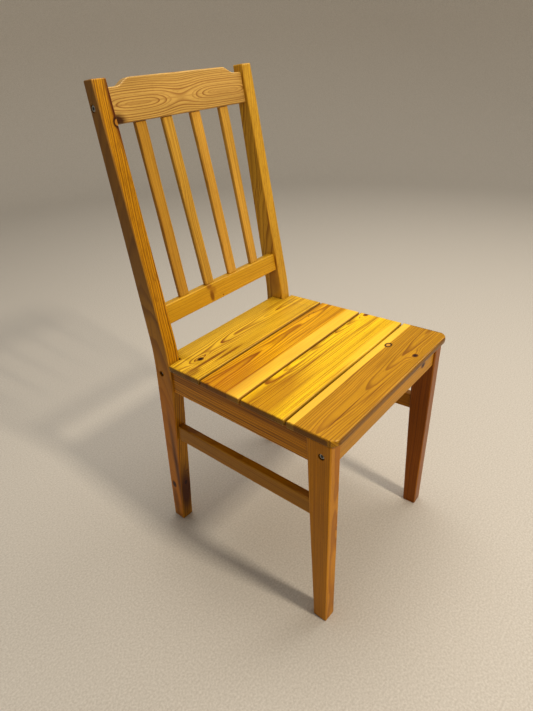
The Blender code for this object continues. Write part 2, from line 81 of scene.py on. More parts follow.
def back_point(across, up, behind):
    """Back: from the middle, up the front face of the posts, and behind that face."""
    depth = BACK_FOOT[0] + math.sin(LEAN) * up + math.cos(LEAN) * behind
    height = BACK_FOOT[1] + math.cos(LEAN) * up - math.sin(LEAN) * behind
    return xyz(across, FRONT_Y + depth, height)


def seat_point(across, depth, above):
    """Seat: from the middle, back from the front legs' front face, and above the boards."""
    y = FRONT_Y + depth * math.cos(SEAT_FALL) + above * math.sin(SEAT_FALL)
    z = SEAT_HEIGHT - depth * math.sin(SEAT_FALL) + above * math.cos(SEAT_FALL)
    return xyz(across, y, z)


def half_width(depth):
    """From the middle of the chair to a leg's outer face."""
    return FRONT_WIDTH / 2 - depth * math.tan(SPLAY)


def inner_half_width(depth):
    return half_width(depth) - STOCK / math.cos(SPLAY)


print("The back leans", round(math.degrees(LEAN), 1), "degrees")

# %% [markdown]
# ## A planed and sanded stick
# A chair's corners are eased with sandpaper, and the rounding catches the light as a thin line.
# A Bevel modifier could do it, but here the section itself is rounded, so its radius can vary.

# %% The rounded section, and the surface it sweeps
ARC_STEPS = 5
CAP_STEPS = 4
SUPPORT = 0.35  # how far onto the flat, in radii, the last line of points beside an arc lies


def rounded_section(wide, tall, radius):
    """The section at each station, corner after corner.
    At a corner the point is the arc's centre + radius (cos t, sin t) for a quarter turn of t.
    One more point lies along the tangent at each end of the arc, so that the flats shade flat."""
    turns = np.linspace(0, math.pi / 2, ARC_STEPS)
    p, q, eased = [], [], []
    for start, at_right, at_top in ((0, 1, 1), (1, 0, 1), (2, 0, 0), (3, 1, 0)):
        t = np.concatenate([turns[:1], turns, turns[-1:]]) + start * math.pi / 2
        slide = np.zeros(len(t))
        slide[0], slide[-1] = -SUPPORT, SUPPORT
        r = radius[:, None]
        centre_p = np.where(at_right, wide[:, None] - r, r)
        centre_q = np.where(at_top, tall[:, None] - r, r)
        p.append(centre_p + r * (np.cos(t) - slide * np.sin(t)))
        q.append(centre_q + r * (np.sin(t) + slide * np.cos(t)))
        eased.append(np.concatenate([[0], np.sin(turns * 2), [0]]))
    return np.hstack(p), np.hstack(q), np.concatenate(eased)


def end_stations(corner, first, second, radius, onward, ease):
    """The rings that close one end: for a quarter turn of t the section shrinks by
    ease (1 - cos t) on each side while it moves out by ease sin t."""
    t = np.linspace(math.pi / 2, 0, CAP_STEPS)
    inset = np.concatenate([[ease * (1 + SUPPORT)], ease * (1 - np.cos(t)), [0]])
    inside = np.concatenate([[0], ease * (1 - np.sin(t)), [ease * (1 + SUPPORT)]])
    one, two = first / np.linalg.norm(first), second / np.linalg.norm(second)
    corners = corner + inset[:, None] * (one + two) + inside[:, None] * onward
    firsts = first - 2 * inset[:, None] * one
    seconds = second - 2 * inset[:, None] * two
    radii = np.maximum(radius - inset, 0.00015)
    end_eased = np.concatenate([[0], np.sin(2 * t), [0]])
    end_grain = np.concatenate([[1], np.sin(t) ** 3, [0]])
    return corners, firsts, seconds, radii, end_eased, end_grain


def sweep(corner, first, second, radius, ease):
    """A rounded section carried along a path. Station i is the parallelogram that starts at
    corner[i] and has the sides first[i] and second[i]; (p, q) on it is
    corner + first p / |first| + second q / |second|. Both ends are rounded over and closed."""
    middle = corner + (first + second) / 2
    ahead = (middle[1] - middle[0]) / np.linalg.norm(middle[1] - middle[0])
    behind = (middle[-2] - middle[-1]) / np.linalg.norm(middle[-2] - middle[-1])
    start = end_stations(corner[0], first[0], second[0], radius[0], ahead, ease)
    stop = end_stations(corner[-1], first[-1], second[-1], radius[-1], behind, ease)
    plain = np.zeros(len(corner) - 2)
    body = (corner[1:-1], first[1:-1], second[1:-1], radius[1:-1], plain, plain)
    rows = [np.concatenate([a, b, c[::-1]]) for a, b, c in zip(start, body, stop)]
    corner, first, second, radius, end_eased, end_grain = rows
    wide = np.linalg.norm(first, axis=1)
    tall = np.linalg.norm(second, axis=1)
    p, q, eased = rounded_section(wide, tall, radius)
    points = (
        corner[:, None, :]
        + first[:, None, :] * (p / wide[:, None])[..., None]
        + second[:, None, :] * (q / tall[:, None])[..., None]
    )
    eased = np.maximum(eased[None, :], end_eased[:, None])
    return points, eased, np.broadcast_to(end_grain[:, None], eased.shape)


def hand_eased(stations, radius, seed):
    """The radius of the edges along a stick: radius (1 + 0.14 sin + 0.08 sin), as a hand leaves it."""
    along = np.linspace(0, 1, stations)
    return radius * (1 + 0.14 * np.sin(9 * along + seed) + 0.08 * np.sin(23 * along + 2.3 * seed))


# %% [markdown]
# ## From points to a piece
# The rings become quads between neighbours, and one flat face closes each end. The numbers called eased
# say how rounded the surface is at each point, so the material can show wear and a painted highlight on
# the edges.

# %% Make the mesh of one piece
pieces = {}


def ring_faces(rings, around):
    """Quad (i, j) joins ring i to ring i + 1 and point j to point j + 1, round and round."""
    i, j = np.meshgrid(np.arange(rings - 1), np.arange(around), indexing="ij")
    k = (j + 1) % around
    quads = np.stack([i * around + j, i * around + k, (i + 1) * around + k, (i + 1) * around + j], -1)
    ring = np.arange(around)
    return quads.reshape(-1, 4), [ring[::-1], ring + (rings - 1) * around]


def triple(a, b, c):
    return np.einsum("...i,...i->...", a, np.cross(b, c)).sum()


def signed_volume(points):
    """A sixth of the sum of a . (b x c) over the walls' triangles and a fan on each end.
    It is positive when the faces of ring_faces point outwards."""
    here, there = points[:-1], points[1:]
    beside, opposite = np.roll(here, -1, 1), np.roll(there, -1, 1)
    walls = triple(here, beside, opposite) + triple(here, opposite, there)
    low, high = points[0], points[-1]
    ends = triple(high[0], high[1:-1], high[2:]) - triple(low[0], low[1:-1], low[2:])
    return (walls + ends) / 6


def closed_mesh(name, points):
    """The rings as a mesh whose faces all point outwards."""
    turn = -1 if signed_volume(points) < 0 else 1
    quads, caps = ring_faces(*points.shape[:2])
    faces = quads[:, ::turn].tolist() + [cap[::turn].tolist() for cap in caps]
    mesh = bpy.data.meshes.new(name)
    mesh.from_pydata(points.reshape(-1, 3).tolist(), [], faces)
    mesh.polygons.foreach_set("use_smooth", np.ones(len(faces), bool))
    return mesh


def points_of(item):
    """All the vertices of an object, as rows of x, y and z."""
    flat = np.empty(len(item.data.vertices) * 3, np.float32)
    item.data.vertices.foreach_get("co", flat)
    return flat.reshape(-1, 3).astype(float)


def make_piece(node, points, eased, end_grain, material, slot):
    """One closed piece from rings of points, standing for one CAD node."""
    name = node + "_finished"
    mesh = closed_mesh(name, points)
    for word, values in (("eased", eased), ("end_grain", end_grain)):
        mesh.attributes.new(word, "FLOAT", "POINT").data.foreach_set("value", values.ravel())
    mesh.materials.append(material)
    piece = bpy.data.objects.new(name, mesh)
    bpy.context.scene.collection.objects.link(piece)
    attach(piece, "root")
    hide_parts(node)
    pieces[node] = piece


def varnished(node, parts, material, flip=1.0):
    """A stick of the left side or the middle, or with flip its mirror image on the right."""
    points, *edges = parts
    make_piece(node, points * flip, *edges, material, "varnished_pine")


# %% [markdown]
# ## Pine under amber varnish
# Pine has wide, pale spring wood and a narrow, brown band of late wood in each ring. A board cut
# beside the heart shows the rings as nested ovals and V shapes. An image of wood would slide over
# the corners, so the log itself is modelled: a point's distance from the heart is divided by the
# ring width, and the fraction left over is its place in a year.

# %% Colours and the one helper for nodes
def linear(code):
    """An sRGB hex colour as linear red, green, blue and alpha."""
    parts = [int(code[i : i + 2], 16) / 255 for i in (1, 3, 5)]
    return [c / 12.92 if c <= 0.04045 else ((c + 0.055) / 1.055) ** 2.4 for c in parts] + [1.0]


def add(tree, kind, inputs=None, out=0, **settings):
    """Adds a node with its settings, sets or links its inputs, and gives one of its outputs."""
    node = tree.nodes.new("ShaderNode" + kind)
    for key, value in settings.items():
        setattr(node, key, value)
    for key, value in (inputs or {}).items():
        if isinstance(value, bpy.types.NodeSocket):
            tree.links.new(value, node.inputs[key])
        else:
            node.inputs[key].default_value = value
    return node.outputs[out]


def new_tree(name):
    material = bpy.data.materials.new(name)
    material.use_nodes = True
    material.node_tree.nodes.clear()
    return material, material.node_tree


def add_output(tree, shader):
    output = tree.nodes.new("ShaderNodeOutputMaterial")
    tree.links.new(shader, output.inputs[0])


def layered(tree, colour, layers):
    """Lays each (share, sRGB code) over the colour in turn."""
    for share, code in layers:
        colour = {0: share, 6: colour, 7: linear(code)}
        colour = add(tree, "Mix", colour, out=2, data_type="RGBA")
    return colour


def axes(origin, along, across):
    """The turn and the place of a stick: its length, its width, and the direction through it."""
    along, across = Vector(along).normalized(), Vector(across).normalized()
    turn = Matrix((along, across, along.cross(across))).transposed().to_euler()
    return tuple(origin), tuple(turn)


# %% [markdown]
# ## The varnished pine itself
# One dictionary holds what changes from stick to stick: where the heart of the log lies, how much it
# leans, the width of the rings, the swells where a branch pushed them aside, and the knots, pale sapwood
# edges and dark marks, in metres along and across the stick. Some of the marks are painted shade.

# %% What a stick of pine is described by
PINE = dict(
    early="#e0a139", late="#a8661c", ring=0.0030, heart=(0.0, -0.030), lean=0.02, wander=0.0045,
    swells=(), knots=(), marks=(), sap=(), shaded_grooves=(), contrast=0.75, streaks=0.45, worn=0.35,
    seed=0.0,
)
ROUGHNESS = (0.29, 0.42)
END_DARK = 0.75
# the third colour is painted shade, for the boards' edges in the gaps between them
RESIN, SAPWOOD, GROOVE_SHADE = "#7d4812", "#f4c548", "#6a4517"
# the second colour lightens the eased edges: partly thin varnish, partly a painted highlight
END_GRAIN, THIN_VARNISH_AND_HIGHLIGHT = "#5e370c", "#dfae55"
# cells of noise to a metre along, across and through the stick
WANDER_CELLS = (7, 20, 20)
TONE_CELLS = (5, 26, 26)
STREAK_CELLS = (4, 300, 300)
FIBRE_CELLS = (24, 800, 800)
RESIN_CELLS = (110, 950, 950)


def stretched_noise(tree, place, cells, **inputs):
    """Noise drawn out along the stick."""
    place = add(tree, "VectorMath", {0: place, 1: cells}, operation="MULTIPLY")
    return add(tree, "TexNoise", {"Vector": place, "Scale": 1.0, **inputs})


def falloff(tree, place, centre, size, interpolation="SMOOTHERSTEP"):
    """1 at the centre of an oval, falling to 0 where its distance in radii is 1."""
    offset = add(tree, "VectorMath", {0: place, 1: centre}, operation="SUBTRACT")
    radii = add(tree, "VectorMath", {0: offset, 1: size}, operation="DIVIDE")
    distance = add(tree, "VectorMath", {0: radii}, out=1, operation="LENGTH")
    return add(tree, "MapRange", {0: distance, 1: 1.0, 2: 0.0}, interpolation_type=interpolation)


def strip(tree, across, centre, reach, edge, most):
    """most within reach of a line along the stick, falling to 0 over the width of its edge."""
    off = add(tree, "Math", {0: across, 1: centre}, operation="SUBTRACT")
    off = add(tree, "Math", {0: off}, operation="ABSOLUTE")
    limits = {0: off, 1: reach + edge, 2: reach, 4: most}
    return add(tree, "MapRange", limits, interpolation_type="SMOOTHSTEP")


# %% [markdown]
# ### Rings
# The log's heart is a line that leans a little through the stick. A swell lifts the rings towards
# the saw, and near a knot they bend round it. Each year's ring has its own width and colour.

# %% Where a point lies in its log, and in its year
def ring_count(tree, spot, split, slow, look):
    """Distance from the heart line, in rings: sqrt(width ^ 2 + depth ^ 2) / ring, made uneven."""
    depth = {0: split.outputs[0], 1: look["lean"], 2: -look["heart"][1]}
    depth = add(tree, "Math", depth, operation="MULTIPLY_ADD")
    depth = add(tree, "Math", {0: depth, 1: split.outputs[2]}, operation="ADD")
    depth = add(tree, "Math", {0: depth, 1: slow}, operation="ADD")
    for along, across, length, width, lift in look["swells"]:
        swell = falloff(tree, spot, (along, across, 0), (length, width, 1))
        depth = add(tree, "Math", {0: swell, 1: lift, 2: depth}, operation="MULTIPLY_ADD")
    for centre, size, *colours in look["knots"]:
        bend = falloff(tree, spot, centre, (size[0] * 7, size[1] * 3.4, size[2] * 2))
        depth = add(tree, "Math", {0: bend, 1: -size[1] * 1.5, 2: depth}, operation="MULTIPLY_ADD")
    width = add(tree, "Math", {0: split.outputs[1], 1: look["heart"][0]}, operation="SUBTRACT")
    width = add(tree, "Math", {0: slow, 1: 0.4, 2: width}, operation="MULTIPLY_ADD")
    radius = add(tree, "CombineXYZ", {0: width, 1: depth})
    radius = add(tree, "VectorMath", {0: radius}, out=1, operation="LENGTH")
    year = add(tree, "Math", {0: radius, 1: look["ring"]}, operation="DIVIDE")
    uneven = {"W": year, "Scale": 0.37, "Detail": 1.0}
    uneven = add(tree, "TexNoise", uneven, noise_dimensions="1D")
    return add(tree, "Math", {0: uneven, 1: 1.6, 2: year}, operation="MULTIPLY_ADD")


def late_wood(tree, year, contrast):
    """The fraction of a year rises slowly to brown late wood and drops at the year's end."""
    season = add(tree, "Math", {0: year}, operation="FRACT")
    rise = add(tree, "MapRange", {0: season, 1: 0.34, 2: 0.88}, interpolation_type="SMOOTHSTEP")
    fall = add(tree, "MapRange", {0: season, 1: 1.0, 2: 0.90}, interpolation_type="SMOOTHSTEP")
    late = add(tree, "Math", {0: rise, 1: fall}, operation="MULTIPLY")
    strength = add(tree, "Math", {0: year}, operation="FLOOR")
    strength = add(tree, "TexWhiteNoise", {"W": strength}, noise_dimensions="1D")
    strength = add(tree, "MapRange", {0: strength, 3: 0.45 * contrast, 4: contrast})
    return add(tree, "Math", {0: late, 1: strength}, operation="MULTIPLY")


# %% [markdown]
# ### Strips, marks and knots
# Sapwood is a pale strip along an edge of a board. The boards' long edges beside the grooves, and the
# front board's front edge, are darkened with painted shade. A knot has a stained rim and a core, and
# both are ovals in space, so it shows only on the faces it reaches.

# %% The strips, marks and knots, as layers of colour
def blemishes(tree, spot, across, slow, look):
    """A (share, sRGB code) for each strip, mark and knot, from the lowest layer to the highest."""
    wavy = add(tree, "Math", {0: slow, 1: 0.5, 2: across}, operation="MULTIPLY_ADD")
    layers = [(strip(tree, wavy, *sizes, 0.72), SAPWOOD) for sizes in look["sap"]]
    # painted shade: a dark strip along each board's long edges, where the gaps between the boards are
    layers += [(strip(tree, across, at, 0.0008, 0.0018, 0.75), GROOVE_SHADE) for at in look["shaded_grooves"]]
    for centre, size, code, most in look["marks"]:
        mark = falloff(tree, spot, centre, size, "SMOOTHSTEP")
        layers.append((add(tree, "MapRange", {0: mark, 2: 0.6, 4: most}), code))
    for centre, size, core, rim in look["knots"]:
        oval = falloff(tree, spot, centre, tuple(1.6 * reach for reach in size), "LINEAR")
        for code, limits in ((rim, {1: 0.10, 2: 0.40, 4: 0.95}), (core, {1: 0.52, 2: 0.62})):
            share = add(tree, "MapRange", {0: oval, **limits}, interpolation_type="SMOOTHSTEP")
            layers.append((share, code))
    return layers


# %% [markdown]
# ### The whole material
# Fibres and brown streaks are fine noise drawn out along the stick. Resin canals are short dashes.
# End grain drinks the varnish and goes dark. On the eased edges the wood is lighter, partly because the
# varnish is thin there and partly as a painted highlight.

# %% Build the pine material of one stick
def pine(name, place, **changes):
    """Varnished pine: a clear coat over the rings of one log, cut where this stick lies."""
    look = {**PINE, **changes}
    material, tree = new_tree("varnished_pine_" + name)
    spot = add(tree, "TexCoord", out=3)
    spot = add(tree, "Mapping", {0: spot, 1: place[0], 2: place[1]}, vector_type="TEXTURE")
    split = add(tree, "SeparateXYZ", {0: spot}).node
    moved = {0: spot, 1: (look["seed"], look["seed"] * 0.7, 0)}
    moved = add(tree, "VectorMath", moved, operation="ADD")
    slow = stretched_noise(tree, moved, WANDER_CELLS, Detail=2.0, Roughness=0.45)
    slow = add(tree, "MapRange", {0: slow, 1: 0.2, 2: 0.8, 3: -look["wander"], 4: look["wander"]})
    late = late_wood(tree, ring_count(tree, spot, split, slow, look), look["contrast"])
    streak = stretched_noise(tree, moved, STREAK_CELLS, Detail=1.5)
    streak = add(tree, "MapRange", {0: streak, 1: 0.50, 2: 0.74, 4: look["streaks"]})
    late = add(tree, "Math", {0: late, 1: streak}, operation="MAXIMUM")
    fibre = stretched_noise(tree, moved, FIBRE_CELLS, Detail=2.0)
    broad = stretched_noise(tree, moved, TONE_CELLS, Detail=3.0)
    dash = stretched_noise(tree, moved, RESIN_CELLS, Detail=0.0)
    dash = add(tree, "MapRange", {0: dash, 1: 0.68, 2: 0.80, 4: 0.30})
    layers = [(late, look["late"]), (dash, RESIN)]
    layers += blemishes(tree, spot, split.outputs[1], slow, look)
    colour = layered(tree, linear(look["early"]), layers)
    shade = add(tree, "MapRange", {0: fibre, 1: 0.25, 2: 0.75, 3: 0.94, 4: 1.05})
    tone = add(tree, "MapRange", {0: broad, 1: 0.25, 2: 0.75, 3: 0.86, 4: 1.12})
    shade = add(tree, "Math", {0: shade, 1: tone}, operation="MULTIPLY")
    colour = add(tree, "VectorMath", {0: colour, "Scale": shade}, operation="SCALE")
    ends = add(tree, "Attribute", out=2, attribute_name="end_grain")
    ends = add(tree, "Math", {0: ends, 1: END_DARK}, operation="MULTIPLY")
    # lighter on the eased edges: partly worn, thin varnish, partly a painted highlight along the arrises
    worn = add(tree, "Attribute", out=2, attribute_name="eased")
    worn = add(tree, "Math", {0: worn, 1: broad}, operation="MULTIPLY")
    worn = add(tree, "MapRange", {0: worn, 1: 0.25, 2: 0.75, 4: look["worn"]})
    colour = layered(tree, colour, [(ends, END_GRAIN), (worn, THIN_VARNISH_AND_HIGHLIGHT)])
    gloss = {0: broad, 1: 0.3, 2: 0.7, 3: ROUGHNESS[0], 4: ROUGHNESS[1]}
    gloss = add(tree, "MapRange", gloss)
    gloss = add(tree, "Math", {0: late, 1: 0.05, 2: gloss}, operation="MULTIPLY_ADD")
    height = add(tree, "Math", {0: fibre, 1: 0.5, 2: late}, operation="MULTIPLY_ADD")
    bump = add(tree, "Bump", {"Height": height, "Strength": 0.22, "Distance": 0.0002})
    wood = add(tree, "BsdfPrincipled", {
        "Base Color": colour, "Roughness": gloss, "Normal": bump, "IOR": 1.5,
        "Specular IOR Level": 0.20, "Coat Weight": 0.14, "Coat Roughness": 0.13, "Coat IOR": 1.5,
    })
    add_output(tree, wood)
    print(name, "has", len(tree.nodes), "nodes")
    return material


# %% [markdown]
# ## The legs
# Each side has a front leg that tapers on its back face, and a rear leg sawn from a wide plank, so
# its bend is in the wood and not steamed. The path of a leg is two lines, its front face and its
# back face, and a station joins the same share of each.

# %% The lines of the legs
FRONT_TOP_DEPTH = 0.048
FRONT_FOOT_DEPTH = 0.029
FOOT = ((0.408, 0.0), (0.439, 0.0))
BEND = ((0.370, 0.434), (0.418, 0.449))
TOP = ((0.4595, 0.9264), (0.4830, 0.9234))
BEND_RADII = (0.40, 0.50)
LEG_ARRIS = 0.0027
LEG_END_EASE = 0.0022
BOARD_THICKNESS = 0.013


def under_seat(depth):
    """Height of the boards' underside, less the clearance."""
    return SEAT_HEIGHT - (BOARD_THICKNESS + GAP) / math.cos(SEAT_FALL) - depth * math.tan(SEAT_FALL)


def bent_line(low, corner, high, radius, count=9):
    """Two straight lines joined by an arc: centre + radius (cos t, sin t) between the tangents."""
    low, corner, high = np.array(low), np.array(corner), np.array(high)
    down = (low - corner) / np.linalg.norm(low - corner)
    up = (high - corner) / np.linalg.norm(high - corner)
    half = math.acos(float(np.clip(down @ up, -1, 1))) / 2
    centre = corner + (down + up) / np.linalg.norm(down + up) * radius / math.sin(half)
    ends = [corner + way * radius / math.tan(half) - centre for way in (down, up)]
    t = np.unwrap([math.atan2(end[1], end[0]) for end in ends])
    t = np.linspace(t[0], t[1], count)
    arc = centre + radius * np.stack([np.cos(t), np.sin(t)], -1)
    below = low + (arc[0] - low) * np.linspace(0, 1, 8)[:-1, None]
    above = arc[-1] + (high - arc[-1]) * np.linspace(0, 1, 10)[1:, None]
    return np.concatenate([below, arc, above])


rear_front_line, rear_back_line = (bent_line(*ends) for ends in zip(FOOT, BEND, TOP, BEND_RADII))
share = np.linspace(0, 1, 10)[:, None]
front_front_line = np.array([0, under_seat(0)]) * share
front_back_line = np.array([FRONT_FOOT_DEPTH, 0]) + share * np.array(
    [FRONT_TOP_DEPTH - FRONT_FOOT_DEPTH, under_seat(FRONT_TOP_DEPTH)]
)
print("The rear leg rises", round(float(rear_front_line[-1, 1]) * 1000, 1), "mm at its front face")


def leg_sweep(front, back):
    """A leg of the left side: stations from the foot up, each as deep as the leg is there."""
    corner = side_point(0.0, front[:, 0], front[:, 1])
    first = side_point(0.0, back[:, 0], back[:, 1]) - corner
    second = side_point(STOCK, front[:, 0], front[:, 1]) - corner
    arris = hand_eased(len(corner), LEG_ARRIS, front[0, 0] * 9)
    return sweep(corner, first, second, arris, LEG_END_EASE)


# %% [markdown]
# ### Where each leg was cut from its log
# The front leg shows fine stripes on its side and broad, plain wood on its front, so the heart of
# the log lay behind it. The rear leg is the other way round, because the grain runs straight while
# the leg turns.

# %% Legs
FLIP = np.array([-1.0, 1.0, 1.0])
SIDES = {"left": 1.0, "right": FLIP}


def both_sides(place_axes):
    """The axes of a left stick, and the same axes seen in a mirror."""
    origin, along, across = (np.array(row, float) for row in place_axes)
    return {side: axes(origin * flip, along * flip, across * flip) for side, flip in SIDES.items()}


REARWARD = (math.sin(SPLAY), math.cos(SPLAY), 0.0)
leg_axes = both_sides((side_point(0.0, 0.0, 0.0), (0, 0, 1), REARWARD))
rear_axes = both_sides((side_point(0.0, 0.40, 0.0), (0, 0, 1), REARWARD))

leg_pine = {
    "left_front_leg": pine(
        "front_leg", leg_axes["left"], early="#c28302", late="#844501", ring=0.0026,
        heart=(0.090, -0.020), lean=0.012, seed=1.3,
        knots=[((0.240, 0.001, -0.0245), (0.004, 0.004, 0.0025), "#a5691c", "#8a5014")],
    ),
    # this leg's colours are darker and redder than the other legs': painted shade, for the shade on its
    # inner face
    "right_front_leg": pine(
        "right_front_leg", leg_axes["right"], early="#975704", late="#5f2b03", ring=0.0028,
        heart=(0.070, 0.050), lean=0.015, seed=4.1,
    ),
    "left_rear_leg": pine(
        "rear_leg", rear_axes["left"], early="#c08917", late="#5b2e07", ring=0.0038,
        heart=(0.020, -0.15), lean=0.06, wander=0.0018, seed=2.2, contrast=1.0,
        marks=[
            # the first mark darkens the post's outer face as painted shade, the second warms the outer
            # face low down, and the third darkens the front face low down as painted shade
            ((0.82, 0.040, 0.001), (0.55, 0.250, 0.0050), "#8a6230", 0.85),
            ((0.20, 0.020, 0.001), (0.38, 0.150, 0.0050), "#ba720a", 0.85),
            ((0.16, 0.002, -0.014), (0.26, 0.012, 0.03), "#451502", 0.92),
            ((0.88, 0.050, -0.0285), (0.13, 0.030, 0.0105), "#52200a", 0.95),
            ((0.05, 0.024, 0.0), (0.07, 0.012, 0.01), "#6b3a0c", 0.6),
        ],
        knots=[
            ((0.104, 0.022, 0.0), (0.008, 0.0055, 0.008), "#35160a", "#5a2c08"),
            ((0.113, -0.001, -0.0147), (0.009, 0.012, 0.0060), "#35160a", "#5a2c08"),
            ((0.862, 0.0485, -0.0265), (0.0075, 0.012, 0.0065), "#a8742c", "#3d1c06"),
        ],
    ),
    "right_rear_leg": pine(
        "right_rear_leg", rear_axes["right"], early="#cda035", late="#824f13", ring=0.0030,
        heart=(-0.020, -0.045), lean=0.03, seed=6.4, contrast=0.85,
    ),
}
LEGS = {
    "front_leg": leg_sweep(front_front_line, front_back_line),
    "rear_leg": leg_sweep(rear_front_line, rear_back_line),
}
for side, flip in SIDES.items():
    for kind, parts in LEGS.items():
        varnished(f"{side}_{kind}", parts, leg_pine[f"{side}_{kind}"], flip)
print(len(pieces), "legs")

# %% [markdown]
# ## The rails and stretchers of the sides
# A seat rail and a lower stretcher are tenoned between the legs of each side, a little behind the
# legs' faces. Their ends follow the legs, so each station joins a point on the lower edge to the
# point above it.

# %% Side rails and stretchers
RAIL_ARRIS = 0.0024
BUTT_EASE = 0.0003
SIDE_RAIL = (0.004, 0.020)
SIDE_RAIL_HEIGHT = 0.0535
STRETCHER = (0.005, 0.016)
STRETCHER_HEIGHT = 0.036
STRETCHER_FRONT = (0.040, 0.2795)
STRETCHER_SLOPE = 0.033


def side_rail_heights(depth):
    return under_seat(depth) - SIDE_RAIL_HEIGHT, under_seat(depth)


def stretcher_heights(depth):
    middle = STRETCHER_FRONT[1] - STRETCHER_SLOPE * (depth - STRETCHER_FRONT[0])
    return middle - STRETCHER_HEIGHT / 2, middle + STRETCHER_HEIGHT / 2


def line_at(line, height):
    """Depth of a leg's face at this height."""
    return np.interp(height, line[:, 1], line[:, 0])


def between_legs(heights, recess, thickness):
    """A stick between the legs: each edge runs from the front leg's back to the rear leg's front."""
    edges = []
    for pick in (0, 1):
        start = line_at(front_back_line, heights(0.04)[pick]) + GAP
        stop = line_at(rear_front_line, heights(0.37)[pick]) - GAP
        depth = start + (stop - start) * np.linspace(0, 1, 14)
        edges.append(side_point(recess, depth, heights(depth)[pick]))
    low, high = edges
    second = np.broadcast_to(side_point(recess + thickness, 0, 0) - side_point(recess, 0, 0), low.shape)
    arris = hand_eased(len(low), RAIL_ARRIS, thickness * 90)
    return sweep(low, high - low, second, arris, BUTT_EASE)


rail_axes = both_sides((side_point(0.0, 0.0, 0.41), REARWARD, (0, 0, 1)))
stretcher_axes = both_sides((side_point(0.0, 0.0, 0.2808), REARWARD, (0, 0, 1)))
for side, flip in SIDES.items():
    rail_pine = pine(
        f"{side}_side_rail", rail_axes[side], early="#d48f03", late="#6b3802",
        ring=0.0034, heart=(0.120, -0.010), lean=0.01, seed=3.3 if side == "left" else 7.7,
        contrast=1.0, streaks=0.9,
        marks=[((0.20, 0.016, 0.0), (0.35, 0.018, 1.0), "#75430c", 0.5)],
    )
    rail = between_legs(side_rail_heights, *SIDE_RAIL)
    varnished(f"{side}_side_rail", rail, rail_pine, flip)
    stretcher_pine = pine(
        f"{side}_stretcher", stretcher_axes[side], early="#ab7609", late="#703d04",
        ring=0.0030, heart=(-0.050, 0.020), lean=0.008, seed=5.3 if side == "left" else 8.9,
        contrast=0.6,
        marks=[
            # both marks darken and grey the top face: painted shade
            ((0.20, 0.021, 0.013), (0.6, 0.007, 1.0), "#94705a", 0.8),
            ((0.18, 0.020, 0.017), (0.09, 0.008, 0.007), "#5a463a", 0.7),
        ],
    )
    stretcher = between_legs(stretcher_heights, *STRETCHER)
    varnished(f"{side}_stretcher", stretcher, stretcher_pine, flip)
print(len(pieces), "pieces so far")

# %% [markdown]
# ## The rails across the chair
# Their ends are sawn to the splay of the legs, so a station near an end is a little longer at its
# front than at its back.

# %% Front and rear seat rails
ACROSS = np.linspace(-1, 1, 15)
SEAT_RAILS = {"front_rail": (0.003, 0.026, 0.388), "rear_rail": (0.389, 0.022, 0.380)}


def cross_rail(front, thickness, underside):
    """Stations at the shares s of the width; a point at depth d lies s times the inner width away."""
    def at(depth, height):
        return xyz(ACROSS * (inner_half_width(depth) - GAP), FRONT_Y + depth, height)

    corner = at(front, underside)
    first = at(front + thickness, underside) - corner
    second = at(front, under_seat(front + thickness)) - corner
    arris = hand_eased(len(ACROSS), RAIL_ARRIS, underside * 9)
    return sweep(corner, first, second, arris, BUTT_EASE)


cross_axes = axes((0.0, FRONT_Y, 0.41), (1, 0, 0), (0, 0, 1))
cross_pine = {
    "front_rail": pine(
        "front_rail", cross_axes, early="#c28b16", late="#87530a", ring=0.0034,
        heart=(0.060, -0.040), lean=0.02, seed=2.9,
        knots=[((0.1265, 0.005, -0.003), (0.0075, 0.0055, 0.012), "#3f1c06", "#6e3c0c")],
    ),
    "rear_rail": pine(
        "rear_rail", cross_axes, early="#b57e1b", late="#7a490c", ring=0.0032,
        heart=(0.030, -0.44), lean=0.015, seed=9.1,
    ),
}
for name, sizes in SEAT_RAILS.items():
    varnished(name, cross_rail(*sizes), cross_pine[name])
print(len(pieces), "pieces so far")

# %% [markdown]
# ## The back
# The crest rail is cut with an S-curve at each shoulder, so that it is higher in the middle. Its
# face shows two nests of ovals, where the log swelled towards the saw. The lower rail has one
# brown knot, cut along its length.

# %% Crest rail and lower rail
BACK_DEPTH = 0.0145
CREST = (0.4318, 0.4873, 0.4989)
SHOULDER = (0.112, 0.142)
CREST_REACH = 0.166  # about half of the crest rail's length
CREST_THICKNESS = 0.018
LOWER_RAIL = (0.080, 0.1175)
LOWER_RAIL_THICKNESS = 0.020


def crest_top(x):
    """The end height, rising to the middle height by half a cosine across the shoulder."""
    share = np.clip((SHOULDER[1] - np.abs(x)) / (SHOULDER[1] - SHOULDER[0]), 0, 1)
    return CREST[1] + (CREST[2] - CREST[1]) * (1 - np.cos(math.pi * share)) / 2


def back_rail(low, high, thickness, shares):
    """Stations across the back, each sawn to meet the posts; high is a height or a curve of x."""
    front = BACK_DEPTH - thickness / 2

    def at(up, behind):
        depth = BACK_FOOT[0] + math.sin(LEAN) * up + math.cos(LEAN) * behind
        return back_point(shares * (inner_half_width(depth) - GAP), up, behind)

    width = inner_half_width(BACK_FOOT[0] + math.sin(LEAN) * low)
    top = high(shares * width) if callable(high) else high + 0 * shares
    corner = at(low, front)
    first = at(top, front) - corner
    second = at(low, front + thickness) - corner
    arris = hand_eased(len(shares), RAIL_ARRIS, thickness * 70)
    return sweep(corner, first, second, arris, BUTT_EASE)


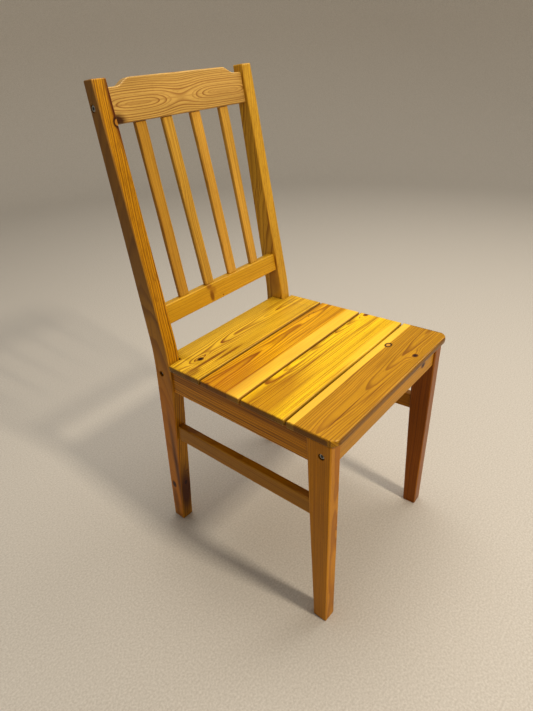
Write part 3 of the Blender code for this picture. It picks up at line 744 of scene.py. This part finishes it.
shoulder = np.linspace(SHOULDER[0] - 0.002, SHOULDER[1] + 0.002, 15) / CREST_REACH
crest_shares = np.unique(np.concatenate([np.linspace(-1, 1, 17), shoulder, -shoulder]))
UP_BACK = (0.0, math.sin(LEAN), math.cos(LEAN))
back_axes = axes(back_point(0.0, 0.0, 0.0), (1, 0, 0), UP_BACK)
crest_pine = pine(
    "crest_rail", back_axes, early="#c19b55", late="#79481a", ring=0.0033,
    heart=(0.459, -0.0205), lean=0.0, wander=0.0024, seed=0.4, contrast=0.85,
    swells=[(-0.102, 0.463, 0.105, 0.2, -0.0140), (0.106, 0.458, 0.125, 0.2, -0.0150)],
    marks=[((-0.160, 0.436, -0.006), (0.030, 0.017, 0.02), "#3a1a06", 0.95)],
)
varnished("crest_rail", back_rail(CREST[0], crest_top, CREST_THICKNESS, crest_shares), crest_pine)
lower_pine = pine(
    "lower_back_rail", back_axes, early="#c89a27", late="#956018", ring=0.0036,
    heart=(0.040, -0.030), lean=0.02, seed=1.9, contrast=0.55,
    marks=[
        ((-0.043, 0.094, -0.004), (0.008, 0.017, 0.01), "#6e3d0a", 0.8),
        ((-0.046, 0.114, -0.010), (0.012, 0.008, 0.02), "#7d4812", 0.7),
        ((-0.038, 0.104, -0.004), (0.014, 0.012, 0.01), "#94601a", 0.5),
        ((-0.0127, 0.085, -0.004), (0.0026, 0.0024, 0.01), "#6e3d0a", 0.8),
    ],
)
varnished("lower_back_rail", back_rail(*LOWER_RAIL, LOWER_RAIL_THICKNESS, ACROSS), lower_pine)
print("The crest rises", round((CREST[2] - CREST[1]) * 1000, 1), "mm at its shoulders")

# %% [markdown]
# ### Slats
# Four slats stand between the two rails. They lean a little, because they were set by eye.

# %% Slats
SLAT_WIDTH = 0.023
SLAT_THICKNESS = 0.009
SLAT_FEET = (-0.1056, -0.0363, 0.0332, 0.1027)
SLAT_TOPS = (-0.1062, -0.0459, 0.0236, 0.1000)
SLAT_HEARTS = (0.05, -0.03, 0.06, -0.05)
SLAT_COLOURS = (
    ("#b98c34", "#885a1c"), ("#c4983d", "#8e6320"), ("#ca9b41", "#906220"), ("#cc9e43", "#91631f"),
)


def slat(foot, top):
    """A straight stick from the lower rail to the crest; its middle moves evenly from foot to top."""
    up = LOWER_RAIL[1] + GAP + (CREST[0] - LOWER_RAIL[1] - 2 * GAP) * np.linspace(0, 1, 14)
    left = foot + (top - foot) * np.linspace(0, 1, 14) - SLAT_WIDTH / 2
    front = BACK_DEPTH - SLAT_THICKNESS / 2
    corner = back_point(left, up, front)
    first = back_point(left + SLAT_WIDTH, up, front) - corner
    second = back_point(left, up, front + SLAT_THICKNESS) - corner
    return sweep(corner, first, second, hand_eased(len(up), RAIL_ARRIS, foot * 40), BUTT_EASE)


slat_axes = axes(back_point(0.0, 0.0, 0.0), UP_BACK, (1, 0, 0))
for number, (foot, top, side, colours) in enumerate(
    zip(SLAT_FEET, SLAT_TOPS, SLAT_HEARTS, SLAT_COLOURS), 1
):
    slat_pine = pine(
        f"slat_{number}", slat_axes, early=colours[0], late=colours[1], ring=0.0028,
        heart=(foot + side, 0.045), lean=0.02 - 0.008 * number, seed=number * 1.7,
    )
    varnished(f"slat_{number}", slat(foot, top), slat_pine)
print("The back has", len([name for name in pieces if "slat" in name]), "slats")

# %% [markdown]
# ## The seat boards
# Four boards run across the chair, 3 mm apart for the wood to swell. The first has the seat's
# rounded corners, so its front edge is drawn back along an arc near each end. The last is notched
# round the posts: its back edge jumps forward where the post begins.

# %% The outline of each board
BOARD_WIDTH = 0.096
BOARD_SPACING = 0.0033
FRONT_OVERHANG = 0.00945
END_OVERHANG = 0.003
SEAT_REAR = 0.404
CORNER_RADIUS = 0.018
NOTCH_CLEARANCE = 0.001
BOARD_ARRIS = 0.0030
BOARD_END_EASE = 0.0026


def board_end(depth):
    return half_width(depth) + END_OVERHANG


def half_board(number):
    """From the middle to the right end: x and depth of the front edge, then of the back edge."""
    front = (number - 1) * (BOARD_WIDTH + BOARD_SPACING) - FRONT_OVERHANG
    rear = SEAT_REAR if number == 4 else front + BOARD_WIDTH
    if number == 1:
        t = np.linspace(0, math.radians(78), 10)
        straight = board_end(front + CORNER_RADIUS) - CORNER_RADIUS
        arc = straight + CORNER_RADIUS * np.sin(t)
        x_front = np.concatenate([np.linspace(0, straight, 8)[:-1], arc])
        y_front = np.concatenate([np.full(7, front), front + CORNER_RADIUS * (1 - np.cos(t))])
        x_rear = x_front * board_end(rear) / x_front[-1]
        return x_front, y_front, x_rear, np.full(len(x_rear), rear)
    if number == 4:
        leg_front = line_at(rear_front_line, under_seat(rear))
        leg_front -= STOCK * math.sin(SPLAY) + NOTCH_CLEARANCE
        post = inner_half_width(rear) - NOTCH_CLEARANCE
        shares = np.append(np.linspace(0, 1, 8), 1 + 1e-6)
        inner, depth = post * shares, np.where(shares > 1, leg_front, rear)
        outer = np.linspace(0, 1, 4)[1:]
        x_front = np.concatenate([inner, post + (board_end(front) - post) * outer])
        x_rear = np.concatenate([inner, post + (board_end(leg_front) - post) * outer])
        y_rear = np.concatenate([depth, np.full(3, leg_front)])
        return x_front, np.full(len(x_rear), front), x_rear, y_rear
    shares = np.linspace(0, 1, 8)
    return board_end(front) * shares, np.full(8, front), board_end(rear) * shares, np.full(8, rear)


def seat_board(number):
    """Both halves of a board as one row of stations, from its left end to its right end."""
    x_front, y_front, x_rear, y_rear = half_board(number)
    mirror = [np.concatenate([-x[:0:-1], x]) for x in (x_front, x_rear)]
    same = [np.concatenate([y[:0:-1], y]) for y in (y_front, y_rear)]
    corner = seat_point(mirror[0], same[0], -BOARD_THICKNESS)
    first = seat_point(mirror[1], same[1], -BOARD_THICKNESS) - corner
    second = seat_point(mirror[0], same[0], 0.0) - corner
    arris = hand_eased(len(corner), BOARD_ARRIS, number * 1.1)
    return sweep(corner, first, second, arris, BOARD_END_EASE)


# %% [markdown]
# ### Four boards from four logs
# The boards don't match, as on most pine furniture. The first and the third keep a strip of pale
# sapwood along one edge, and the second has a broad, pale patch. The first has a ring-shaped knot
# and a small dark one near its right end. The last shows dark streaks beside a knot.

# %% Seat boards
REARWARD_DOWN = (0, math.cos(SEAT_FALL), -math.sin(SEAT_FALL))
seat_axes = axes(seat_point(0.0, 0.0, 0.0), (1, 0, 0), REARWARD_DOWN)
BOARDS = {
    1: dict(
        early="#b98718", late="#6a3606", heart=(0.0275, -0.022), lean=-0.035, wander=0.0022,
        seed=0.9, streaks=0.6, shaded_grooves=(-0.0095, 0.0865), sap=[(0.0775, 0.0065, 0.0020)],
        knots=[
            ((0.1035, 0.0685, 0.0), (0.0078, 0.0058, 0.03), "#c08a35", "#240e03"),
            ((0.095, 0.0085, 0.0), (0.0055, 0.0045, 0.03), "#2a1206", "#5a2f0c"),
        ],
        marks=[
            ((-0.13, 0.022, 0.0), (0.09, 0.0016, 0.03), "#6e3d0a", 0.8),
            ((-0.05, 0.012, 0.0), (0.06, 0.0014, 0.03), "#6e3d0a", 0.7),
        ],
    ),
    2: dict(
        early="#f3c520", late="#824408", ring=0.0024, heart=(0.180, -0.026), lean=-0.024,
        wander=0.0030, seed=3.7, streaks=0.9, contrast=1.0, shaded_grooves=(0.0898, 0.1858),
        knots=[((0.197, 0.170, 0.0), (0.008, 0.004, 0.03), "#6e3d0a", "#7a430e")],
        marks=[
            ((0.10, 0.098, 0.0), (0.17, 0.017, 0.05), "#efbf3a", 0.8),
            ((-0.19, 0.150, 0.0), (0.20, 0.050, 0.05), "#8c4a06", 0.55),
            ((-0.06, 0.172, 0.0), (0.16, 0.0016, 0.03), "#7a430a", 0.7),
            ((0.06, 0.150, 0.0), (0.12, 0.0016, 0.03), "#7a430a", 0.6),
        ],
    ),
    3: dict(
        early="#e1a814", late="#7f4007", ring=0.0034, heart=(0.262, -0.022), lean=0.028,
        wander=0.0028, seed=5.5, streaks=0.85, contrast=0.95, shaded_grooves=(0.1891, 0.2851),
        sap=[(0.204, 0.0125, 0.0045)],
        marks=[
            ((0.1225, 0.270, 0.0), (0.0040, 0.0015, 0.03), "#3f1e06", 0.9),
            ((0.131, 0.274, 0.0), (0.0035, 0.0014, 0.03), "#3f1e06", 0.9),
            ((0.1435, 0.2715, 0.0), (0.0040, 0.0014, 0.03), "#3f1e06", 0.9),
            ((-0.200, 0.2675, 0.0), (0.012, 0.005, 0.02), "#3f1e06", 0.9),
            ((-0.20, 0.245, 0.0), (0.19, 0.065, 0.05), "#965606", 0.50),
        ],
    ),
    4: dict(
        early="#e0b530", late="#7c3d0a", ring=0.0032, heart=(0.350, -0.016), lean=-0.046,
        wander=0.0030, seed=7.2, streaks=0.7, contrast=1.0, shaded_grooves=(0.2884,),
        knots=[((-0.1415, 0.3385, 0.0), (0.0060, 0.0045, 0.03), "#220d04", "#4f270a")],
        marks=[
            ((-0.13, 0.322, 0.0), (0.085, 0.0055, 0.03), "#6e3a08", 0.85),
            ((-0.09, 0.3095, 0.0), (0.060, 0.0050, 0.03), "#6e3a08", 0.80),
            ((-0.185, 0.317, 0.0), (0.030, 0.016, 0.03), "#6e3d0a", 0.6),
        ],
    ),
}
for number, look in BOARDS.items():
    board_pine = pine(f"board_{number}", seat_axes, worn=0.2, **look)
    varnished(f"seat_board_{number}", seat_board(number), board_pine)
for name, piece in pieces.items():
    low, high = (np.array(corner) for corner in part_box(name))
    made = points_of(piece)
    off = np.abs(np.concatenate([made.min(0) - low, made.max(0) - high])).max() * 1000
    print(name, "is within", round(float(off), 1), "mm of its CAD box, tenons counted")

# %% [markdown]
# ## Bolts
# A zinc-plated bolt with a hexagon socket pulls each rail against a leg, into a barrel nut hidden
# in the rail. It is one profile spun round an axis, whose radius is swapped for a hexagon's inside
# the socket.

# %% Turned shapes, and the bolt heads
def turned(profile, start, axis, around=36):
    """Row k of the profile is (distance along the axis, radius, six-sidedness). At the angle t the
    radius is mixed, by the last number, with a hexagon's: r cos 30 / cos((t mod 60) - 30)."""
    profile = np.array(profile, float)
    t = np.linspace(0, 2 * math.pi, around, endpoint=False)
    hexagon = math.cos(math.pi / 6) / np.cos(np.mod(t, math.pi / 3) - math.pi / 6)
    radius = profile[:, 1:2] * (1 - profile[:, 2:3] * (1 - hexagon[None, :]))
    axis = np.array(axis) / np.linalg.norm(axis)
    one = np.cross(axis, [0.0, 0.3, 1.0])
    one /= np.linalg.norm(one)
    two = np.cross(axis, one)
    ring = radius[..., None] * (np.cos(t)[:, None] * one + np.sin(t)[:, None] * two)
    return np.array(start) + profile[:, 0, None, None] * axis + ring


def zinc(name):
    """Zinc-plated steel: a pale, slightly blue metal, dulled and spotted by handling."""
    material, tree = new_tree(name)
    spot = add(tree, "TexCoord", out=3)
    spots = add(tree, "TexNoise", {"Vector": spot, "Scale": 900.0, "Detail": 3.0})
    dull = add(tree, "MapRange", {0: spots, 1: 0.35, 2: 0.7, 3: 0.28, 4: 0.5})
    shade = add(tree, "MapRange", {0: spots, 1: 0.3, 2: 0.7})
    colour = layered(tree, linear("#c3c5c6"), [(shade, "#9a9a96")])
    bump = add(tree, "Bump", {"Height": spots, "Strength": 0.15, "Distance": 0.0001})
    look = {"Base Color": colour, "Metallic": 1.0, "Roughness": dull, "Normal": bump}
    add_output(tree, add(tree, "BsdfPrincipled", look))
    return material


HEAD = 0.005
SOCKET = 0.0029
BOLT_END = 0.0660
BOLT = [
    (BOLT_END, 0.0004, 0), (BOLT_END, 0.0024, 0), (0.0654, 0.0030, 0), (0.0064, 0.0030, 0),
    (0.0060, 0.0032, 0), (0.0060, 0.0046, 0), (0.0057, HEAD, 0), (0.0050, HEAD, 0),
    (0.0010, HEAD, 0), (0.0004, 0.00485, 0), (0.0001, 0.0045, 0), (0.0, 0.0041, 0),
    (0.0, 0.0034, 0.3), (0.0003, SOCKET, 1), (0.0006, SOCKET, 1), (0.0029, SOCKET, 1),
    (0.0032, SOCKET * 0.95, 1), (0.0034, 0.0004, 0.5),
]
INWARD = np.array([math.cos(SPLAY), -math.sin(SPLAY), 0.0])
bolt_steel = zinc("zinc_plated_steel_bolt")
heads = {}
for side, flip in SIDES.items():
    for place in ("crest", "front", "rear"):
        node = f"{side}_{place}_bolt"
        inward = INWARD * flip
        co = points_of(nodes[node])
        middle = (co.min(0) + co.max(0)) / 2
        end = co[(co @ inward) < (co @ inward).min() + 0.0001].mean(0)
        start = middle + inward * ((end - middle) @ inward)
        heads[side, place] = (start, inward)
        points = turned(BOLT, start, inward)
        plain = np.zeros(points.shape[:2])
        make_piece(node, points, plain, plain, bolt_steel, "zinc_plated_steel")
        pieces[node].data.set_sharp_from_angle(angle=math.radians(35))
print(len(heads), "bolts, each", round(BOLT_END * 1000), "mm long")

# %% [markdown]
# ### The holes that the heads sit in
# A counterbore is drilled with a flat-bottomed bit, so its rim is crisp and its inside is raw wood
# with a little varnish. A Boolean cuts it out of the finished leg, and the cutter is then removed.

# %% Counterbores
COUNTERBORE = [
    (-0.006, 0.0060, 0), (0.0, 0.0060, 0), (0.0063, 0.0060, 0), (0.0063, 0.0034, 0), (0.05, 0.0034, 0),
]


def drill(piece, start, inward):
    """Cuts a turned hole: 12 mm wide down to the bolt's head, and a narrower one for its shank."""
    shape = closed_mesh("drill", turned(COUNTERBORE, start, inward, 40))
    cutter = bpy.data.objects.new("drill", shape)
    bpy.context.scene.collection.objects.link(cutter)
    cut = piece.modifiers.new("counterbore", "BOOLEAN")
    cut.object = cutter
    cut.solver = "EXACT"
    bpy.context.view_layer.update()
    drilled = piece.evaluated_get(bpy.context.evaluated_depsgraph_get())
    drilled = bpy.data.meshes.new_from_object(drilled)
    piece.modifiers.remove(cut)
    piece.data = drilled
    bpy.data.objects.remove(cutter)
    drilled.set_sharp_from_angle(angle=math.radians(40))


for (side, place), (start, inward) in heads.items():
    leg = pieces[f"{side}_{'front' if place == 'front' else 'rear'}_leg"]
    drill(leg, start, inward)
    print(leg.name, "now has", len(leg.data.polygons), "faces")

# %% [markdown]
# ## The parts that hardly show
# Battens under the seat are bare pine, the dowels are beech and the barrel nuts are turned steel.
# Their CAD shapes are already right, so they keep them and only get a finish.

# %% Finishes for the CAD parts that stay
def bare_wood(name, place, pale, dark, cells, rough):
    """Unvarnished wood: a dry, dull surface with fine fibres and soft bands."""
    material, tree = new_tree(name)
    spot = add(tree, "TexCoord", out=3)
    spot = add(tree, "Mapping", {0: spot, 1: place[0], 2: place[1]}, vector_type="TEXTURE")
    bands = stretched_noise(tree, spot, cells, Detail=4.0, Roughness=0.6)
    tone = add(tree, "MapRange", {0: bands, 1: 0.35, 2: 0.68})
    colour = layered(tree, linear(pale), [(tone, dark)])
    gloss = add(tree, "MapRange", {0: bands, 3: rough - 0.08, 4: rough + 0.08})
    bump = add(tree, "Bump", {"Height": bands, "Strength": 0.3, "Distance": 0.0003})
    look = {"Base Color": colour, "Roughness": gloss, "Normal": bump, "IOR": 1.5}
    add_output(tree, add(tree, "BsdfPrincipled", look))
    return material


batten_pine = bare_wood("bare_pine_batten", rail_axes["left"], "#dcbb86", "#b98a50", (14, 420, 420), 0.7)
FINISHES = {
    "batten": batten_pine,
    "dowel": bare_wood("beech_dowel", cross_axes, "#d2a77a", "#a97a4e", (60, 900, 900), 0.6),
    "nut": zinc("turned_steel_nut"),
    "screw": zinc("zinc_plated_steel_screw"),
}
kept = [name for name, node in nodes.items() if not node.hide_render]
for name in kept:
    # the last word that fits: a batten's screw is a screw
    word = [word for word in FINISHES if word in name][-1]
    nodes[name].data.materials[0] = FINISHES[word]
print(len(kept), "CAD parts keep their shape")

# %% [markdown]
# ## Floor, light and camera
# The light comes low over the front of the seat, so the seat and the crest are bright and the
# outer faces of the left legs fall into shade. A pale sky fills the shadows.

# %% Stage
def studio_bowl(flat=3.2, turn=1.0, top=2.6, around=72):
    """A round floor that curves up into a wall. Out to flat it is level; then the distance from
    the middle is flat + turn sin t and the height turn (1 - cos t), and then it goes straight up."""
    t = np.linspace(0, math.pi / 2, 14)
    bend = flat + turn * np.sin(t[1:])
    reach = np.concatenate([np.linspace(0.02, flat, 40), bend, [flat + turn]])
    height = np.concatenate([np.zeros(40), turn * (1 - np.cos(t[1:])), [top]])
    angle = np.linspace(0, 2 * math.pi, around, endpoint=False)[None, :]
    reach = reach[:, None]
    points = xyz(reach * np.cos(angle), reach * np.sin(angle), height[:, None])
    quads, caps = ring_faces(len(reach), around)
    mesh = bpy.data.meshes.new("floor")
    mesh.from_pydata(points.reshape(-1, 3).tolist(), [], quads.tolist() + [caps[0].tolist()])
    mesh.polygons.foreach_set("use_smooth", np.ones(len(mesh.polygons), bool))
    return mesh


material, tree = new_tree("pale_floor")
weave = add(tree, "TexNoise", {"Vector": add(tree, "TexCoord", out=3), "Scale": 260.0, "Detail": 2.0})
tone = add(tree, "MapRange", {0: weave, 1: 0.3, 2: 0.7})
colour = layered(tree, linear("#b4aca2"), [(tone, "#c6bfb6")])
add_output(tree, add(tree, "BsdfPrincipled", {"Base Color": colour, "Roughness": 0.9}))
floor = bpy.data.objects.new("floor", studio_bowl())
floor.data.materials.append(material)
bpy.context.scene.collection.objects.link(floor)

scene = bpy.context.scene
scene.world = bpy.data.worlds.new("soft_sky")
scene.world.use_nodes = True
sky = scene.world.node_tree.nodes["Background"]
sky.inputs[0].default_value = linear("#e9ebe8")
sky.inputs[1].default_value = 0.42
scene.view_settings.view_transform = "Standard"
scene.view_settings.look = "Medium High Contrast"


def soft_light(name, place, aim, size, power, code):
    """A square soft box at a place, turned to face another."""
    lamp = bpy.data.lights.new(name, "AREA")
    lamp.size = size
    lamp.energy = power
    lamp.color = linear(code)[:3]
    light = bpy.data.objects.new(name, lamp)
    light.location = place
    light.rotation_euler = (Vector(aim) - Vector(place)).to_track_quat("-Z", "Y").to_euler()
    scene.collection.objects.link(light)


soft_light("key", (0.02, -2.3, 2.75), (0.0, 0.0, 0.4), 0.32, 58, "#fff5e2")
soft_light("overhead", (0.5, 0.4, 3.0), (0.0, 0.0, 0.4), 1.6, 34, "#fdf8f0")
soft_light("fill", (1.9, -0.6, 2.2), (0.0, 0.0, 0.4), 1.4, 14, "#fdf8f0")

# %% [markdown]
# ### The view
# A standing person's view down on the chair, from beside its front left corner.

# %% Camera
CAMERA_PLACE = (-0.7357, -0.5666, 0.9786)
LENS = 27.196  # on the long side of a 36 mm frame
TURN, PITCH, ROLL = math.radians(49.82), math.radians(-31.10), math.radians(-2.50)
right = np.array([math.cos(TURN), -math.sin(TURN), 0.0])
level_ahead = np.array([math.sin(TURN), math.cos(TURN), 0.0])
ahead = level_ahead * math.cos(PITCH) + np.array([0.0, 0.0, math.sin(PITCH)])
above = np.cross(right, ahead)
level = math.cos(ROLL) * right + math.sin(ROLL) * above
upright = -math.sin(ROLL) * right + math.cos(ROLL) * above
camera = bpy.data.objects.new("camera", bpy.data.cameras.new("camera"))
facing = Matrix(np.stack([level, upright, -ahead], axis=1).tolist()).to_4x4()
camera.matrix_world = Matrix.Translation(CAMERA_PLACE) @ facing
camera.data.lens = LENS
camera.data.clip_start = 0.01
scene.collection.objects.link(camera)
scene.camera = camera
print("The camera stands", round(CAMERA_PLACE[2], 2), "m above the floor")
